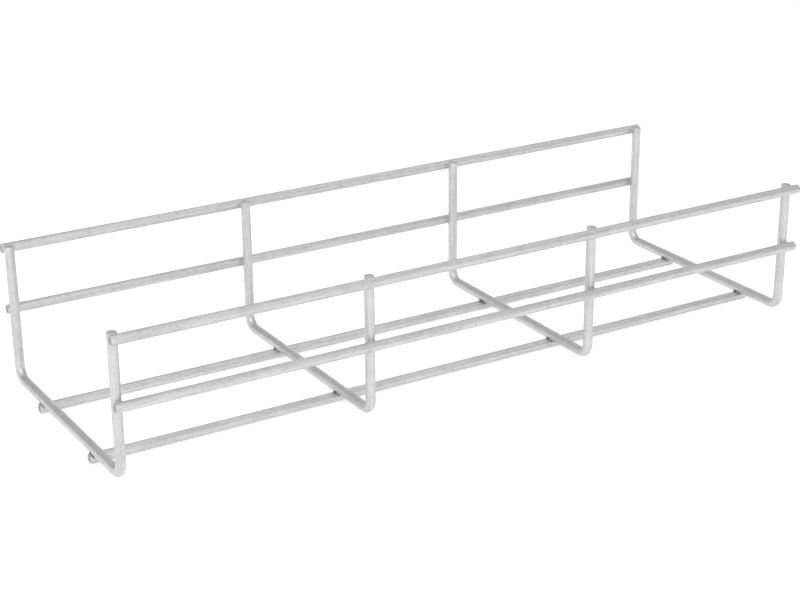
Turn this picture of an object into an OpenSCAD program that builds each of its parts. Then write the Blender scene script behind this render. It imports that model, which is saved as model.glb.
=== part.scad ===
// Welded wire cable basket: a short length of mesh tray, open at the top and at both ends.
// U-bent cross wires carry six straight long wires, which are welded to their outer side.
// X runs along the tray, Y across it and Z up. The origin is under its middle, at the lowest point.

/* [Wire] */
// Diameter of the U-bent cross wires
cross_d = 3.8; // [3:0.1:6]
// Diameter of the straight long wires
long_d = 3.8; // [3:0.1:6]
// Radius that tumbling leaves on the rim of every cut wire end
end_round = 0.5; // [0.2:0.05:1]

/* [Mesh] */
// Distance between neighbouring cross wires
bay = 100; // [50:5:150]
// Number of bays between cross wires
bays = 3; // [1:1:6]
// How far the long wires stand out past the first cross wire
start_over = 0.2; // [0:0.1:20]
// How far the long wires stand out past the last cross wire
finish_over = 1.5; // [0:0.1:20]

/* [Tray] */
// Width of the tray between the centre lines of its two walls
tray_w = 100; // [90:5:300]
// Distance between the two floor wires
floor_pitch = 50; // [20:1:70]
// Height of the side wires above the centre line of the floor's cross wires
side_h = 27.5; // [20:0.5:35]
// Height of the rim wires above the centre line of the floor's cross wires
rim_h = 52.5; // [45:0.5:100]
// How far the cut ends of the cross wires stand above the rim wires' top, or below it if negative
tip_rise = -0.2; // [-1:0.1:4]
// Radius of the bends, on the centre line of the wire
bend_r = 4.7; // [4:0.1:10]

/* [Welds] */
// Depth that the long wires sink into the cross wires where they are welded
weld_sink = 0.4; // [0.1:0.05:0.8]
// Diameter of the metal that each weld squeezes out between the wires
weld_d = 3; // [1:0.1:3]

/* [Hidden] */
WALLS = [["front", -1], ["back", 1]];
LONG_KINDS = ["floor", "side", "rim"];
$fn = 96;

wire_gap = (cross_d + long_d) / 2 - weld_sink;      // centre to centre, at a weld
floor_z = long_d / 2;                               // centre line of the floor wires
cross_z = floor_z + wire_gap;                       // centre line of the cross wires in the floor
wall_y = tray_w / 2;                                // centre line of the walls' upright legs
tip_z = cross_z + rim_h + long_d / 2 + tip_rise;    // top of the cross wires
long_l = bays * bay + cross_d + start_over + finish_over;
long_x = -long_l / 2;                               // start of the long wires
first_x = long_x + start_over + cross_d / 2;        // first cross wire

// Place of cross wire number i, counted from 1
function cross_x(i) = first_x + (i - 1) * bay;

// Where a long wire's centre line runs, as [y, z]
function long_at(kind, side) =
    kind == "floor" ? [side * floor_pitch / 2, floor_z]
    : [side * (wall_y + wire_gap), cross_z + (kind == "side" ? side_h : rim_h)];

// Turn about X from +Z to the direction in which its cross wires lie
function weld_turn(kind, side) = kind == "floor" ? 0 : side * 90;

// Round wire along +Z from 0 to len, with the rim of its far end rounded, and the near one too if asked
module cut_wire(len, d, both = true) {
    start = both ? end_round : 0;
    rotate_extrude() {
        translate([0, start]) square([d / 2, len - end_round - start]);
        square([d / 2 - end_round, len]);
        translate([d / 2 - end_round, len - end_round]) circle(end_round);
        if (both) translate([d / 2 - end_round, end_round]) circle(end_round);
    }
}

// One upright leg of a cross wire with the bend at its foot, on the +Y side
module leg() {
    translate([0, wall_y, bend_r]) cut_wire(tip_z - cross_z - bend_r, cross_d, both = false);
    translate([0, wall_y - bend_r, bend_r])
        rotate([0, 90, 0]) rotate_extrude(angle = 90) translate([bend_r, 0]) circle(d = cross_d);
}

// The bent shape of one cross wire, with its floor stretch on the Y axis
module cross_shape() {
    leg();
    mirror([0, 1, 0]) leg();
    rotate([90, 0, 0]) cylinder(h = tray_w - 2 * bend_r, d = cross_d, center = true);
}

module cross_wire(i) {
    color("silver") translate([cross_x(i), 0, cross_z]) cross_shape();
}

// Metal squeezed out of a weld, from the long wire's centre line towards the cross wire's
module weld(kind, side) {
    rotate([weld_turn(kind, side), 0, 0]) cylinder(h = wire_gap, d = weld_d);
}

// A straight long wire with its welds, seated in a hollow at each cross wire
module long_wire(kind, side) {
    at = long_at(kind, side);
    color("gainsboro") difference() {
        union() {
            translate([long_x, at.x, at.y]) rotate([0, 90, 0]) cut_wire(long_l, long_d);
            for (i = [1 : bays + 1]) translate([cross_x(i), at.x, at.y]) weld(kind, side);
        }
        for (i = [1 : bays + 1]) cross_wire(i);
    }
}

for (i = [1 : bays + 1])
    cross_wire(i);
for (kind = LONG_KINDS, wall = WALLS)
    long_wire(kind, wall[1]);
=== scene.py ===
"""A length of welded wire cable basket, with its wires drawn, bent, cut, welded and zinc plated.

Each wire is modelled over its solid in the frame and replaces it. Every size is in metres, X runs along
the tray, Y across it towards the back wall, and Z up from the level that the floor wires rest on.
"""

import math

import bmesh
import bpy
from mathutils import Matrix, Vector, noise


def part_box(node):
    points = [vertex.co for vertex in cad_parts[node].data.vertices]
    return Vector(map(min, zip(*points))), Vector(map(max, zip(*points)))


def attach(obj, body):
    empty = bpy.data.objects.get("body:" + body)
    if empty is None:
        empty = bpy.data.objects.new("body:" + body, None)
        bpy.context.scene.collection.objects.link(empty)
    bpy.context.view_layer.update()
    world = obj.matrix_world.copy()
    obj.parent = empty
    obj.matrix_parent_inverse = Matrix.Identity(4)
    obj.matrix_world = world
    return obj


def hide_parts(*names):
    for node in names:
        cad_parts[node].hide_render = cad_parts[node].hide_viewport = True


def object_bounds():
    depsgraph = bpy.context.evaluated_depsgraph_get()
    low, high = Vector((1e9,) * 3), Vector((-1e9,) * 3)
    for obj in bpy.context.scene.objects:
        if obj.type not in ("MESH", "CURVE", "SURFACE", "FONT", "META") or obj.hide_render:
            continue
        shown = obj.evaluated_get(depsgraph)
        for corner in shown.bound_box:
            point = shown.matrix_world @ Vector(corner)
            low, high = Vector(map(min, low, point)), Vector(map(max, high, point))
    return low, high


bl_info = {
    "name": "Wire Cable Basket",
    "version": (1, 0, 0),
    "blender": (4, 5, 0),
    "location": "View3D > Sidebar > Cable Basket",
    "description": "Models a length of welded wire cable basket and sets up a plain studio round it",
    "category": "Add Mesh",
}

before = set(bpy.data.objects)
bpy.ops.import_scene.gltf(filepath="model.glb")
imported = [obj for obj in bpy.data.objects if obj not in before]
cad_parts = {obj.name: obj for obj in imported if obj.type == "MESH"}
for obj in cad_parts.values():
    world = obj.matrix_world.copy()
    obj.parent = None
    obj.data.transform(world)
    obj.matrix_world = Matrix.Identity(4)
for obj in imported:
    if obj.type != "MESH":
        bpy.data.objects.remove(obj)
CAD_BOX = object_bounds()

MM = 0.001
CROSS_NODES = sorted(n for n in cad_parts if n.startswith("cross_wire_"))
LONG_NODES = sorted(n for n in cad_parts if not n.startswith("cross_wire_"))
BODY = "root"

# Material slots of every wire
WIRE_SLOT, CUT_SLOT, WELD_SLOT = 0, 1, 2

# A wire gets a ring of points at these distances from each weld, but not this near to the end of a straight
# stretch, where the rounding of a cut end needs the room
WELD_RINGS = [w * MM for w in (-5, -3.6, -2.6, -1.8, -1.1, -0.4, 0.4, 1.1, 1.8, 2.6, 3.6, 5)]
RING_CLEARANCE = 0.7 * MM

# Cut ends: segments across the rounded edge, rings of points inside it and the distance between them
END_ROUND_SEGMENTS = 5
END_RINGS = 5
END_RING_GAP = 0.26 * MM
# Their unevenness: its mean depth and its swing, as shares of End Tear, and how often it changes in a metre
TEAR_SHARE = 0.6
TEAR_GRAIN = 900

# Squeezed-out metal: how much further it reaches between the wires, how often its lumps change across it, and
# a factor that gives each weld lumps of its own
WELD_LOBE = 0.1
WELD_LUMPS = 2.5
WELD_SHIFT = 1000

# Strength of the burn marks at the welds of the floor wires, and of the side and rim wires. The marks are
# partly painted shade in the gap where the wires cross, which is why the floor's are the strongest.
FLOOR_BURN_AND_PAINTED_SHADE = 1.0
WALL_BURN_AND_PAINTED_SHADE = 0.1

# Shift of the pattern from one wire to the next, in metres, so that no two wires look alike
PATTERN_STEP = 0.37

# Half the width of the paper floor, in metres, and the width of the camera's sensor, in millimetres
FLOOR_REACH = 8
SENSOR_WIDTH = 36


def linear(hex_colour):
    """Linear RGB with alpha 1 of an sRGB hex colour such as "C8C9CA"."""
    channels = [int(hex_colour[i : i + 2], 16) / 255 for i in (0, 2, 4)]
    return [c / 12.92 if c <= 0.04045 else ((c + 0.055) / 1.055) ** 2.4 for c in channels] + [1.0]


# ---------------------------------------------------------------- where the wires run


def cross_wire_path(node):
    """Where a bent cross wire runs, from its solid: its x, half the distance between its legs, the heights of
    its floor stretch and its tips, and its diameter."""
    low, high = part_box(node)
    wire = high.x - low.x
    return {
        "x": (low.x + high.x) / 2,
        "wall": high.y - wire / 2,
        "floor": low.z + wire / 2,
        "tip": high.z,
        "wire": wire,
    }


def long_wire_path(node):
    """Where a straight long wire runs, from its solid, and the direction in which its cross wires lie.
    The solid's box is deeper in that direction, because the weld metal is part of it."""
    low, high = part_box(node)
    middle = (low + high) / 2
    wire = min(high.y - low.y, high.z - low.z)
    path = {"start": low.x, "finish": high.x, "wire": wire}
    if node.startswith("floor"):
        return path | {"y": middle.y, "z": low.z + wire / 2, "inward": Vector((0, 0, 1))}
    if middle.y > 0:
        return path | {"y": high.y - wire / 2, "z": middle.z, "inward": Vector((0, -1, 0))}
    return path | {"y": low.y + wire / 2, "z": middle.z, "inward": Vector((0, 1, 0))}


CROSS_PATHS = {n: cross_wire_path(n) for n in CROSS_NODES}
LONG_PATHS = {n: long_wire_path(n) for n in LONG_NODES}


def weld_point(cross, long):
    """The middle of the weld between a cross wire and a long wire."""
    on_long = Vector((cross["x"], long["y"], long["z"]))
    if long["inward"].z:
        gap = cross["floor"] - long["z"]
    else:
        gap = abs(long["y"]) - cross["wall"]
    return on_long + long["inward"] * gap / 2


# ---------------------------------------------------------------- sizes and colours


class BasketWireSizes(bpy.types.PropertyGroup):
    facets: bpy.props.IntProperty(
        name="Facets", description="Facets round each wire", default=48, min=12, max=96
    )
    bend_radius: bpy.props.FloatProperty(
        name="Bend Radius",
        description="Radius of the cross wires' bends, on the centre line of the wire",
        default=4.7 * MM,
        min=3 * MM,
        max=12 * MM,
        precision=4,
        unit="LENGTH",
    )
    bend_steps: bpy.props.IntProperty(
        name="Bend Steps", description="Facets along each bend", default=18, min=6, max=48
    )
    end_round: bpy.props.FloatProperty(
        name="End Rounding",
        description="Radius that tumbling leaves on the rim of a cut end",
        default=0.35 * MM,
        min=0.1 * MM,
        max=1.2 * MM,
        precision=5,
        unit="LENGTH",
    )
    end_tear: bpy.props.FloatProperty(
        name="End Tear",
        description="Depth of the unevenness that shearing leaves on a cut end",
        default=0.15 * MM,
        min=0,
        max=0.4 * MM,
        precision=5,
        unit="LENGTH",
    )


class BasketWeldSizes(bpy.types.PropertyGroup):
    spread: bpy.props.FloatProperty(
        name="Spread",
        description="How far the squeezed-out metal reaches from the middle of a weld",
        default=1.8 * MM,
        min=1 * MM,
        max=2.5 * MM,
        precision=5,
        unit="LENGTH",
    )
    thickness: bpy.props.FloatProperty(
        name="Thickness",
        description="Thickness of the squeezed-out metal in the middle of a weld",
        default=1.5 * MM,
        min=0.4 * MM,
        max=3 * MM,
        precision=5,
        unit="LENGTH",
    )
    unevenness: bpy.props.FloatProperty(
        name="Unevenness",
        description="Share of its size by which the squeezed-out metal is lumpy",
        default=0.05,
        min=0,
        max=0.3,
        subtype="FACTOR",
    )
    # The burn mark is partly painted shade in the gap where the wires cross; this is how far it reaches along
    # the wires
    mark_reach: bpy.props.FloatProperty(
        name="Burn Mark Reach",
        description="How far the burn mark of a weld reaches along the wires",
        default=3.0 * MM,
        min=1 * MM,
        max=8 * MM,
        precision=4,
        unit="LENGTH",
    )


class BasketFinish(bpy.types.PropertyGroup):
    zinc: bpy.props.FloatVectorProperty(
        name="Zinc",
        description="Colour of the zinc plating",
        size=4,
        subtype="COLOR",
        default=linear("D4D4D4"),
        min=0,
        max=1,
    )
    zinc_dull: bpy.props.FloatVectorProperty(
        name="Dull Zinc",
        description="Colour of the plating in the streaks that drawing leaves along the wire",
        size=4,
        subtype="COLOR",
        default=linear("C0C0C0"),
        min=0,
        max=1,
    )
    tip: bpy.props.FloatVectorProperty(
        name="Cross Wire Tips",
        description="Colour of the plating on the sheared tips of the cross wires",
        size=4,
        subtype="COLOR",
        default=linear("CCCCCC"),
        min=0,
        max=1,
    )
    cut: bpy.props.FloatVectorProperty(
        name="Cut Ends",
        description="Colour of the bare steel where the long wires were cut to length after plating",
        size=4,
        subtype="COLOR",
        default=linear("A2A2A2"),
        min=0,
        max=1,
    )
    cut_torn: bpy.props.FloatVectorProperty(
        name="Torn Cut Ends",
        description="Colour of the part of the bare cut ends that tore instead of shearing",
        size=4,
        subtype="COLOR",
        default=linear("B4B4B4"),
        min=0,
        max=1,
    )
    # Colour of the burn marks, which also paint the shade in the gaps where the wires cross
    burn_and_painted_shade: bpy.props.FloatVectorProperty(
        name="Weld Burn",
        description="Colour of the burn marks beside the welds",
        size=4,
        subtype="COLOR",
        default=linear("5F5D5B"),
        min=0,
        max=1,
    )
    roughness: bpy.props.FloatProperty(
        name="Roughness",
        description="Roughness of the plating",
        default=0.45,
        min=0,
        max=1,
        subtype="FACTOR",
    )


class BasketStudio(bpy.types.PropertyGroup):
    floor: bpy.props.FloatVectorProperty(
        name="Floor",
        description="Colour of the floor",
        size=4,
        subtype="COLOR",
        default=linear("EBEBEB"),
        min=0,
        max=1,
    )
    floor_glow: bpy.props.FloatProperty(
        name="Floor Glow",
        description="Strength of the floor's own light, which brings it to white round the shadow",
        default=0.42,
        min=0,
        max=1,
        subtype="FACTOR",
    )
    back_card: bpy.props.FloatVectorProperty(
        name="Back Card",
        description="Colour of the card behind the object, which only shows in reflections",
        size=4,
        subtype="COLOR",
        default=linear("D2D2D2"),
        min=0,
        max=1,
    )
    end_card: bpy.props.FloatVectorProperty(
        name="End Card",
        description="Colour of the card past the finish end, which only shows in reflections",
        size=4,
        subtype="COLOR",
        default=linear("D0D0D0"),
        min=0,
        max=1,
    )
    ambient: bpy.props.FloatProperty(
        name="Ambient", description="Strength of the even light from all round", default=0.85, min=0, max=2
    )
    key_power: bpy.props.FloatProperty(
        name="Key Power", description="Power of the soft light", default=1.5, min=0, max=100, unit="POWER"
    )
    lens: bpy.props.FloatProperty(
        name="Focal Length",
        description="Focal length of the camera, in millimetres",
        default=81.64,
        min=20,
        max=300,
        unit="CAMERA",
    )
    camera_place: bpy.props.FloatVectorProperty(
        name="Camera Place",
        description="Where the camera stands",
        default=(-0.35611, -0.58321, 0.29236),
        subtype="TRANSLATION",
        unit="LENGTH",
    )
    camera_aim: bpy.props.FloatVectorProperty(
        name="Camera Aim",
        description="The point that the camera looks at",
        default=(-0.00699, 0.00123, 0.02359),
        subtype="TRANSLATION",
        unit="LENGTH",
    )
    camera_roll: bpy.props.FloatProperty(
        name="Camera Roll",
        description="Turn of the camera about the line that it looks along",
        default=math.radians(-0.49),
        unit="ROTATION",
    )


# ---------------------------------------------------------------- modelling a wire


def unique(elements):
    """Each element once, in the order given. A set's order differs from run to run, and with it the
    last digits of a wire's points."""
    return list(dict.fromkeys(elements))


def start_rim(bm, wire, facets, place):
    """Makes the ring that a wire starts from, in the plane that place turns its XY to.
    Returns the rim's edges."""
    made = bmesh.ops.create_circle(bm, cap_ends=False, segments=facets, radius=wire / 2, matrix=place)
    return unique(e for v in made["verts"] for e in v.link_edges)


def draw_out(bm, rim, direction, stations):
    """Draws a wire straight on from its open rim, with a ring at each distance in stations.
    Returns the new rim."""
    done = 0
    for reach in stations:
        made = bmesh.ops.extrude_edge_only(bm, edges=rim)["geom"]
        verts = [g for g in made if isinstance(g, bmesh.types.BMVert)]
        bmesh.ops.translate(bm, vec=direction * (reach - done), verts=verts)
        fresh = set(verts)
        rim = [g for g in made if isinstance(g, bmesh.types.BMEdge) and fresh.issuperset(g.verts)]
        done = reach
    return rim


def bend_round(bm, rim, centre, axis, angle, steps):
    """Bends a wire on from its open rim, round centre. Returns the new rim."""
    verts = unique(v for e in rim for v in e.verts)
    made = bmesh.ops.spin(
        bm,
        geom=verts + rim,
        cent=centre,
        axis=axis,
        dvec=(0, 0, 0),
        angle=angle,
        steps=steps,
        use_merge=False,
        use_normal_flip=False,
        use_duplicate=False,
    )["geom_last"]
    return [g for g in made if isinstance(g, bmesh.types.BMEdge)]


def cut_off(bm, rim, outwards, sizes):
    """Closes a wire's open rim with a sheared end face, which has a rounded edge and is uneven inside it.
    outwards is the direction that the face looks in."""
    bmesh.ops.edgeloop_fill(bm, edges=rim, mat_nr=CUT_SLOT, use_smooth=True)
    made = bmesh.ops.bevel(
        bm,
        geom=rim,
        offset=sizes.end_round,
        offset_type="OFFSET",
        segments=END_ROUND_SEGMENTS,
        profile=0.5,
        affect="EDGES",
        clamp_overlap=True,
        material=-1,
    )
    for f in made["faces"]:
        f.material_index = WIRE_SLOT
        f.smooth = True
    face = max({f for v in made["verts"] for f in v.link_faces}, key=lambda f: len(f.verts))
    edge = set(face.verts)
    faces = [face]
    for _ in range(END_RINGS):
        faces += bmesh.ops.inset_region(bm, faces=[face], thickness=END_RING_GAP)["faces"]
    faces += bmesh.ops.poke(bm, faces=[face])["faces"]
    for v in {v for f in faces if f.is_valid for v in f.verts} - edge:
        v.co -= outwards * sizes.end_tear * (TEAR_SHARE + TEAR_SHARE * noise.noise(v.co * TEAR_GRAIN))


def cut_ends(bm, ends, sizes):
    """Shades the sides of a drawn wire smooth, and closes its rims.
    ends holds each rim with the direction that its face looks in."""
    for f in bm.faces:
        f.smooth = True
    for rim, outwards in ends:
        cut_off(bm, rim, outwards, sizes)


def rings_near(welds, length):
    """Distances along a straight stretch at which a wire gets a ring: close together at the welds, clear of
    the stretch's two ends, and at its far end."""
    found = set()
    for weld in welds:
        for step in WELD_RINGS:
            if RING_CLEARANCE < weld + step < length - RING_CLEARANCE:
                found.add(round(weld + step, 6))
    return sorted(found) + [length]


def add_weld_metal(bm, at, inward, sizes):
    """Adds the metal that a weld squeezes out: a flat, lumpy ball that is widest between the wires."""
    verts = bmesh.ops.create_icosphere(bm, subdivisions=4, radius=1)["verts"]
    for v in verts:
        lobe = 1 + WELD_LOBE * abs(math.sin(2 * math.atan2(v.co.y, v.co.x)))
        lump = 1 + sizes.unevenness * noise.noise(v.co * WELD_LUMPS + at * WELD_SHIFT)
        v.co = Vector((v.co.x * lobe, v.co.y * lobe, v.co.z)) * lump
    bmesh.ops.scale(bm, vec=(sizes.spread, sizes.spread, sizes.thickness / 2), verts=verts)
    turn = inward.to_track_quat("Z", "X").to_matrix().to_4x4()
    bmesh.ops.transform(bm, matrix=Matrix.Translation(at) @ turn, verts=verts)
    for f in {f for v in verts for f in v.link_faces}:
        f.material_index = WELD_SLOT
        f.smooth = True


def add_object(name, bm, materials):
    """Makes an object of what is modelled, with a slot for each material."""
    mesh = bpy.data.meshes.new(name)
    bm.to_mesh(mesh)
    bm.free()
    for material in materials:
        mesh.materials.append(material)
    made = bpy.data.objects.new(name, mesh)
    bpy.context.scene.collection.objects.link(made)
    return made


def finish_wire(bm, node, straightened, welds, sizes, materials):
    """Makes the finished piece for a solid of the frame. Each of its points keeps two things for the
    materials: where the point was on the wire before bending, and how close it is to a weld."""
    bmesh.ops.recalc_face_normals(bm, faces=bm.faces)
    drawn = bm.verts.layers.float_vector.new("drawn")
    # Closeness to a weld, weighted by its share, sets the burn mark and the painted shade in the gap between
    # the wires
    burn_and_painted_shade = bm.verts.layers.float.new("burn_and_painted_shade")
    for v in bm.verts:
        v[drawn] = straightened(v.co)
        near = max((share * (1 - (v.co - at).length / sizes.mark_reach) for at, share in welds), default=0)
        v[burn_and_painted_shade] = max(0.0, near)
    piece = add_object("finished_" + node, bm, materials)
    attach(piece, BODY)
    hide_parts(node)


def weld_share(long_node):
    """How strong the burn marks and the painted shade at a long wire's welds are. The floor's are the
    strongest, as the painted shade stands for the shadow in the gap under the cross wires.
    """
    return FLOOR_BURN_AND_PAINTED_SHADE if long_node.startswith("floor") else WALL_BURN_AND_PAINTED_SHADE


def build_cross_wire(node, sizes, weld_sizes, materials, number):
    """Models one cross wire: drawn down the front leg, bent, drawn across the floor, bent, drawn up the back
    leg, and cut off at both tips."""
    path = CROSS_PATHS[node]
    x, wall, floor, tip, wire = (path[k] for k in ("x", "wall", "floor", "tip", "wire"))
    bend = sizes.bend_radius
    leg = tip - floor - bend
    base = 2 * (wall - bend)
    wall_welds = sorted({round(tip - p["z"], 6) for p in LONG_PATHS.values() if not p["inward"].z})
    floor_welds = sorted(p["y"] + base / 2 for p in LONG_PATHS.values() if p["inward"].z)
    up = Vector((0, 0, 1))
    bm = bmesh.new()
    rim = first = start_rim(bm, wire, sizes.facets, Matrix.Translation((x, -wall, tip)))
    rim = draw_out(bm, rim, -up, rings_near(wall_welds, leg))
    rim = bend_round(bm, rim, (x, bend - wall, floor + bend), (1, 0, 0), math.pi / 2, sizes.bend_steps)
    rim = draw_out(bm, rim, Vector((0, 1, 0)), rings_near(floor_welds, base))
    rim = bend_round(bm, rim, (x, wall - bend, floor + bend), (1, 0, 0), math.pi / 2, sizes.bend_steps)
    rim = draw_out(bm, rim, up, rings_near([leg - w for w in wall_welds], leg))
    cut_ends(bm, [(first, up), (rim, up)], sizes)

    def straightened(co):
        """Distance along the wire and place in its section, for a point of the bent wire."""
        side = 1 if co.y > 0 else -1
        quarter = bend * math.pi / 2
        if co.z > floor + bend:
            run = side * (base / 2 + quarter + co.z - floor - bend)
            out = side * co.y - wall
        elif abs(co.y) < wall - bend:
            run = co.y
            out = floor - co.z
        else:
            across = side * co.y - (wall - bend)
            down = floor + bend - co.z
            run = side * (base / 2 + bend * math.atan2(across, down))
            out = math.hypot(across, down) - bend
        return Vector((run + number * PATTERN_STEP, co.x - x, out))

    welds = [(weld_point(path, p), weld_share(n)) for n, p in LONG_PATHS.items()]
    finish_wire(bm, node, straightened, welds, weld_sizes, materials)


def build_long_wire(node, sizes, weld_sizes, materials, number):
    """Models one long wire, cut off at both ends, with the metal that its welds squeeze out."""
    path = LONG_PATHS[node]
    start = path["start"]
    length = path["finish"] - start
    at_welds = [weld_point(c, path) for c in CROSS_PATHS.values()]
    along = Vector((1, 0, 0))
    bm = bmesh.new()
    place = Matrix.Translation((start, path["y"], path["z"])) @ Matrix.Rotation(math.pi / 2, 4, "Y")
    first = start_rim(bm, path["wire"], sizes.facets, place)
    last = draw_out(bm, first, along, rings_near([w.x - start for w in at_welds], length))
    cut_ends(bm, [(first, -along), (last, along)], sizes)
    for at in at_welds:
        add_weld_metal(bm, at, path["inward"], weld_sizes)

    def straightened(co):
        """Distance along the wire and place in its section."""
        return Vector((co.x + number * PATTERN_STEP, co.y - path["y"], co.z - path["z"]))

    welds = [(at, weld_share(node)) for at in at_welds]
    finish_wire(bm, node, straightened, welds, weld_sizes, materials)


# ---------------------------------------------------------------- materials


def add_node(tree, kind, inputs=None, **settings):
    """Adds a node. inputs gives a value, or another node's output, for each socket by its name or number."""
    node = tree.nodes.new(kind)
    for name, value in settings.items():
        setattr(node, name, value)
    for socket, value in (inputs or {}).items():
        if isinstance(value, bpy.types.NodeSocket):
            tree.links.new(value, node.inputs[socket])
        else:
            node.inputs[socket].default_value = value
    return node


def new_material(name):
    """An empty material and its node tree."""
    material = bpy.data.materials.new(name)
    material.use_nodes = True
    material.node_tree.nodes.clear()
    return material, material.node_tree


def cloudy(tree, place, size, detail=2.0, roughness=0.5):
    """Noise whose features are about size across, in metres."""
    inputs = {"Vector": place, "Scale": 1 / size, "Detail": detail, "Roughness": roughness}
    return add_node(tree, "ShaderNodeTexNoise", inputs).outputs["Fac"]


def streaky(tree, place, length, width, detail=2.0, roughness=0.5):
    """Noise drawn out along the wire: its features are about length long and width wide, in metres."""
    scale = (1 / length, 1 / width, 1 / width)
    stretched = add_node(tree, "ShaderNodeMapping", {"Vector": place, "Scale": scale}).outputs[0]
    return cloudy(tree, stretched, 1.0, detail, roughness)


def math_node(tree, operation, *values):
    """The result of a Math node."""
    return add_node(tree, "ShaderNodeMath", dict(enumerate(values)), operation=operation).outputs[0]


def ramp(tree, value, low, high, top=1.0):
    """0 where value is low or less, top where it is high or more, and even between them."""
    inputs = {"Value": value, "From Min": low, "From Max": high, "To Max": top}
    return add_node(tree, "ShaderNodeMapRange", inputs).outputs[0]


def blend(tree, share, first, second):
    """The first colour where share is 0, and the second where it is 1."""
    return add_node(tree, "ShaderNodeMix", {0: share, 6: first, 7: second}, data_type="RGBA").outputs[2]


def metal_surface(tree, colour, roughness, relief, strength, depth):
    """Ends a material as a metal with the given relief, which is depth deep, in metres."""
    inputs = {"Height": relief, "Strength": strength, "Distance": depth}
    bump = add_node(tree, "ShaderNodeBump", inputs).outputs[0]
    inputs = {"Base Color": colour, "Metallic": 1.0, "Roughness": roughness, "Normal": bump}
    shader = add_node(tree, "ShaderNodeBsdfPrincipled", inputs).outputs[0]
    add_node(tree, "ShaderNodeOutputMaterial", {"Surface": shader})


def plated_wire_material(name, finish):
    """Bright zinc plating on cold-drawn steel wire. Drawing through a die leaves faint lines and dull streaks
    along the wire, and the thin plating over them is a satin, slightly cloudy light grey."""
    material, tree = new_material(name)
    place = add_node(tree, "ShaderNodeAttribute", attribute_name="drawn").outputs["Vector"]
    streaks = streaky(tree, place, 0.030, 0.0009, detail=3.0, roughness=0.6)
    clouds = cloudy(tree, place, 0.006)
    # The die lines are coarser than real ones, so that they show
    lines = streaky(tree, place, 0.012, 0.00025)
    # Grain of the zinc, drawn out along the wire
    grain = streaky(tree, place, 0.0016, 0.0004)
    mixed = math_node(tree, "MULTIPLY_ADD", clouds, 0.45, -0.7)
    mixed = math_node(tree, "MULTIPLY_ADD", grain, 1.0, mixed)
    dull = math_node(tree, "ADD", streaks, mixed)
    dull = ramp(tree, dull, 0.35, 0.75)
    colour = blend(tree, dull, list(finish.zinc), list(finish.zinc_dull))
    # Burn marks beside the welds, with a broken edge. They are partly painted shade in the gap where the
    # wires cross.
    near = add_node(tree, "ShaderNodeAttribute", attribute_name="burn_and_painted_shade").outputs["Fac"]
    broken = cloudy(tree, place, 0.0008)
    edge = math_node(tree, "MULTIPLY_ADD", broken, 0.5, -0.25)
    burn_and_painted_shade = math_node(tree, "ADD", near, edge)
    burn_and_painted_shade = ramp(tree, burn_and_painted_shade, 0.2, 0.55, top=0.9)
    colour = blend(tree, burn_and_painted_shade, colour, list(finish.burn_and_painted_shade))
    # Streaks, and burn marks with their painted shade, are rougher than the rest
    rough = math_node(tree, "MULTIPLY_ADD", streaks, 0.16, finish.roughness - 0.08)
    rough = math_node(tree, "MULTIPLY_ADD", burn_and_painted_shade, 0.2, rough)
    relief = math_node(tree, "MULTIPLY_ADD", grain, 0.4, lines)
    metal_surface(tree, colour, rough, relief, strength=0.35, depth=0.02 * MM)
    return material


def sheared_face_material(name, colour, torn_colour):
    """The face that a shear leaves: smooth over one part, and torn, in another tone, over the rest."""
    material, tree = new_material(name)
    place = add_node(tree, "ShaderNodeAttribute", attribute_name="drawn").outputs["Vector"]
    grain = cloudy(tree, place, 0.00035, detail=3.0, roughness=0.6)
    parts = cloudy(tree, place, 0.002)
    torn = ramp(tree, parts, 0.4, 0.6)
    tone = blend(tree, torn, list(colour), list(torn_colour))
    metal_surface(tree, tone, 0.6, grain, strength=0.5, depth=0.06 * MM)
    return material


def plated_tip_material(name, finish):
    """Zinc plating over the sheared tip of a cross wire. It was cut before plating, so it is nearly as light
    as the wire, only rougher."""
    return sheared_face_material(name, finish.tip, finish.zinc_dull)


def bare_cut_material(name, finish):
    """Bare sheared steel, where a long wire was cut to length after plating. It is darker than zinc."""
    return sheared_face_material(name, finish.cut, finish.cut_torn)


def weld_metal_material(name, finish):
    """Zinc plating over the metal that resistance welding squeezes out. It is dull, finely pitted, and
    spotted with scale where the weld was hottest, and with painted shade where it lies in the gap between the
    floor wires and the cross wires."""
    material, tree = new_material(name)
    place = add_node(tree, "ShaderNodeTexCoord").outputs["Object"]
    pits = cloudy(tree, place, 0.0003, roughness=0.6)
    spots_and_painted_shade = cloudy(tree, place, 0.001)
    # The burn value, strongest at the floor welds, adds painted shade in the gap between the wires to the
    # scale spots
    near = add_node(tree, "ShaderNodeAttribute", attribute_name="burn_and_painted_shade").outputs["Fac"]
    spots_and_painted_shade = math_node(tree, "MULTIPLY_ADD", spots_and_painted_shade, 0.6, near)
    scale = ramp(tree, spots_and_painted_shade, 0.5, 0.75, top=0.9)
    colour = blend(tree, scale, list(finish.zinc_dull), list(finish.burn_and_painted_shade))
    metal_surface(tree, colour, 0.55, pits, strength=0.5, depth=0.05 * MM)
    return material


WIRE, TIP, CUT, WELD = (
    "zinc_plated_drawn_wire",
    "zinc_plated_sheared_tip",
    "bare_sheared_steel",
    "zinc_plated_weld_metal",
)
METALS = {
    WIRE: plated_wire_material,
    TIP: plated_tip_material,
    CUT: bare_cut_material,
    WELD: weld_metal_material,
}


def wire_materials(finish, end):
    """The materials of a wire whose ends have the material end, in the order of its slots. Each material is
    made once."""
    return [bpy.data.materials.get(name) or METALS[name](name, finish) for name in (WIRE, end, WELD)]


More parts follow.
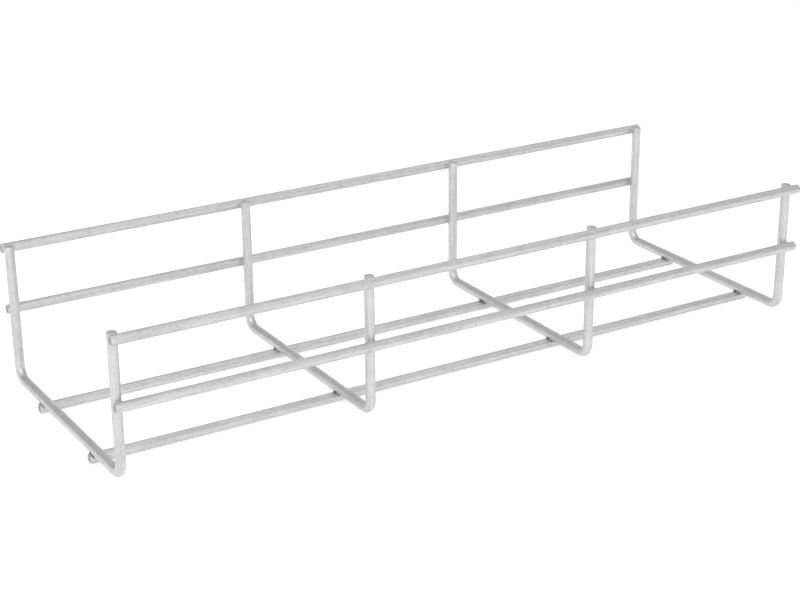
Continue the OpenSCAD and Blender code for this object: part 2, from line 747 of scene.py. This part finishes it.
def seen_directly(tree):
    """1 for rays that show the surroundings themselves, straight or in a mirror or lens, and 0 for those that
    only light things."""
    path = add_node(tree, "ShaderNodeLightPath").outputs
    either = math_node(tree, "MAXIMUM", path["Is Camera Ray"], path["Is Glossy Ray"])
    return math_node(tree, "MAXIMUM", either, path["Is Transmission Ray"])


def floor_material(studio):
    """Matt white paper. A little light of its own, for rays that show it, brings it to white round the soft
    shadow."""
    material, tree = new_material("white_paper_sweep")
    paper = add_node(tree, "ShaderNodeBsdfDiffuse", {"Color": list(studio.floor)}).outputs[0]
    seen = seen_directly(tree)
    lift = math_node(tree, "MULTIPLY", seen, studio.floor_glow)
    glow = add_node(tree, "ShaderNodeEmission", {"Strength": lift}).outputs[0]
    shader = add_node(tree, "ShaderNodeAddShader", {0: paper, 1: glow}).outputs[0]
    add_node(tree, "ShaderNodeOutputMaterial", {"Surface": shader})
    return material


def card_material(name, colour):
    """Matt grey card."""
    material, tree = new_material(name)
    card = add_node(tree, "ShaderNodeBsdfDiffuse", {"Color": list(colour)}).outputs[0]
    add_node(tree, "ShaderNodeOutputMaterial", {"Surface": card})
    return material


# ---------------------------------------------------------------- studio


def aim(obj, place, target, roll=0.0):
    """Puts a lamp or the camera at place, looking at target."""
    obj.location = place
    look = (Vector(target) - Vector(place)).to_track_quat("-Z", "Y").to_matrix().to_4x4()
    obj.matrix_world = Matrix.Translation(place) @ look @ Matrix.Rotation(roll, 4, "Z")


def add_softbox(name, azimuth, elevation, distance, size, power):
    """Adds a square soft light aimed at the object, from angles in degrees. Azimuth 0 is in front of it and
    90 at its finish end."""
    light = bpy.data.lights.new(name, "AREA")
    light.shape = "SQUARE"
    light.size = size
    light.energy = power
    lamp = bpy.data.objects.new(name, light)
    bpy.context.scene.collection.objects.link(lamp)
    a = math.radians(azimuth)
    e = math.radians(elevation)
    place = Vector((math.sin(a) * math.cos(e), -math.cos(a) * math.cos(e), math.sin(e))) * distance
    aim(lamp, place, (CAD_BOX[0] + CAD_BOX[1]) / 2)
    lamp.visible_camera = False


def add_card(name, colour, foot, turn, width, height):
    """Stands a card up with the middle of its lower edge at foot, turned about Z in degrees. It shows only in
    reflections, where it keeps the wires' edges from fading into the white."""
    bm = bmesh.new()
    bmesh.ops.create_grid(bm, x_segments=1, y_segments=1, size=0.5)
    place = (
        Matrix.Translation(foot)
        @ Matrix.Rotation(math.radians(turn), 4, "Z")
        @ Matrix.Rotation(math.pi / 2, 4, "X")
        @ Matrix.Diagonal((width, height, 1, 1))
        @ Matrix.Translation((0, 0.5, 0))
    )
    bmesh.ops.transform(bm, matrix=place, verts=bm.verts)
    card = add_object(name, bm, [card_material(name, colour)])
    card.visible_camera = False
    card.visible_diffuse = False


def add_floor(studio):
    """Lays the paper that the object stands on."""
    bm = bmesh.new()
    bmesh.ops.create_grid(bm, x_segments=1, y_segments=1, size=FLOOR_REACH)
    floor = add_object("paper_floor", bm, [floor_material(studio)])


def add_surroundings(studio):
    """Surrounds the object with plain white, which gives a weaker, even light."""
    world = bpy.data.worlds.new("studio_surroundings")
    world.use_nodes = True
    tree = world.node_tree
    tree.nodes.clear()
    inputs = {"Value": seen_directly(tree), "To Min": studio.ambient, "To Max": 1.0}
    strength = add_node(tree, "ShaderNodeMapRange", inputs).outputs[0]
    white = add_node(tree, "ShaderNodeBackground", {"Color": (1, 1, 1, 1), "Strength": strength}).outputs[0]
    add_node(tree, "ShaderNodeOutputWorld", {"Surface": white})
    bpy.context.scene.world = world


def add_camera(studio):
    """Sets up the camera."""
    data = bpy.data.cameras.new("camera")
    data.lens = studio.lens
    data.sensor_width = SENSOR_WIDTH
    data.sensor_fit = "HORIZONTAL"
    data.clip_start = 0.01
    data.clip_end = 50
    camera = bpy.data.objects.new("camera", data)
    bpy.context.scene.collection.objects.link(camera)
    aim(camera, studio.camera_place, studio.camera_aim, studio.camera_roll)
    bpy.context.scene.camera = camera


# ---------------------------------------------------------------- steps


class BASKET_OT_cross_wires(bpy.types.Operator):
    """Model the bent cross wires over their solids"""

    bl_idname = "basket.cross_wires"
    bl_label = "Cross Wires"
    bl_options = {"REGISTER", "UNDO"}

    def execute(self, context):
        scene = context.scene
        materials = wire_materials(scene.basket_finish, TIP)
        for number, node in enumerate(CROSS_NODES):
            build_cross_wire(node, scene.basket_wires, scene.basket_welds, materials, number)
        return {"FINISHED"}


class BASKET_OT_long_wires(bpy.types.Operator):
    """Model the straight floor, side and rim wires over their solids, with their welds"""

    bl_idname = "basket.long_wires"
    bl_label = "Long Wires and Welds"
    bl_options = {"REGISTER", "UNDO"}

    def execute(self, context):
        scene = context.scene
        materials = wire_materials(scene.basket_finish, CUT)
        for number, node in enumerate(LONG_NODES, len(CROSS_NODES)):
            build_long_wire(node, scene.basket_wires, scene.basket_welds, materials, number)
        return {"FINISHED"}


class BASKET_OT_studio(bpy.types.Operator):
    """Set up the white floor, the cards, the soft light, the surroundings and the camera"""

    bl_idname = "basket.studio"
    bl_label = "Studio"
    bl_options = {"REGISTER", "UNDO"}

    def execute(self, context):
        studio = context.scene.basket_studio
        add_floor(studio)
        add_card("back_card", studio.back_card, foot=(-0.5, 1.2, 0.35), turn=0, width=2.2, height=1.7)
        add_card("end_card", studio.end_card, foot=(0.9, 0.1, 0.12), turn=90, width=2.2, height=0.78)
        add_softbox("key_softbox", azimuth=-32, elevation=30, distance=0.8, size=0.6, power=studio.key_power)
        add_surroundings(studio)
        add_camera(studio)
        context.scene.view_settings.view_transform = "Standard"
        return {"FINISHED"}


class BASKET_PT_sidebar(bpy.types.Panel):
    """Lists the steps that build the basket, and their sizes and colours"""

    bl_idname = "BASKET_PT_sidebar"
    bl_label = "Cable Basket"
    bl_space_type = "VIEW_3D"
    bl_region_type = "UI"
    bl_category = "Cable Basket"

    def draw(self, context):
        for operator, groups in STEPS:
            self.layout.operator(operator.bl_idname)
            for group in groups:
                settings = getattr(context.scene, group)
                for name in settings.__class__.__annotations__:
                    self.layout.prop(settings, name)


STEPS = (
    (BASKET_OT_cross_wires, ("basket_wires", "basket_finish")),
    (BASKET_OT_long_wires, ("basket_welds",)),
    (BASKET_OT_studio, ("basket_studio",)),
)
GROUPS = {
    "basket_wires": BasketWireSizes,
    "basket_welds": BasketWeldSizes,
    "basket_finish": BasketFinish,
    "basket_studio": BasketStudio,
}
CLASSES = (*GROUPS.values(), *(operator for operator, _ in STEPS), BASKET_PT_sidebar)


def register():
    for cls in CLASSES:
        bpy.utils.register_class(cls)
    for name, group in GROUPS.items():
        setattr(bpy.types.Scene, name, bpy.props.PointerProperty(type=group))


def unregister():
    for name in GROUPS:
        delattr(bpy.types.Scene, name)
    for cls in reversed(CLASSES):
        bpy.utils.unregister_class(cls)


def main():
    register()
    bpy.ops.basket.cross_wires()
    bpy.ops.basket.long_wires()
    bpy.ops.basket.studio()


if __name__ == "__main__":
    main()
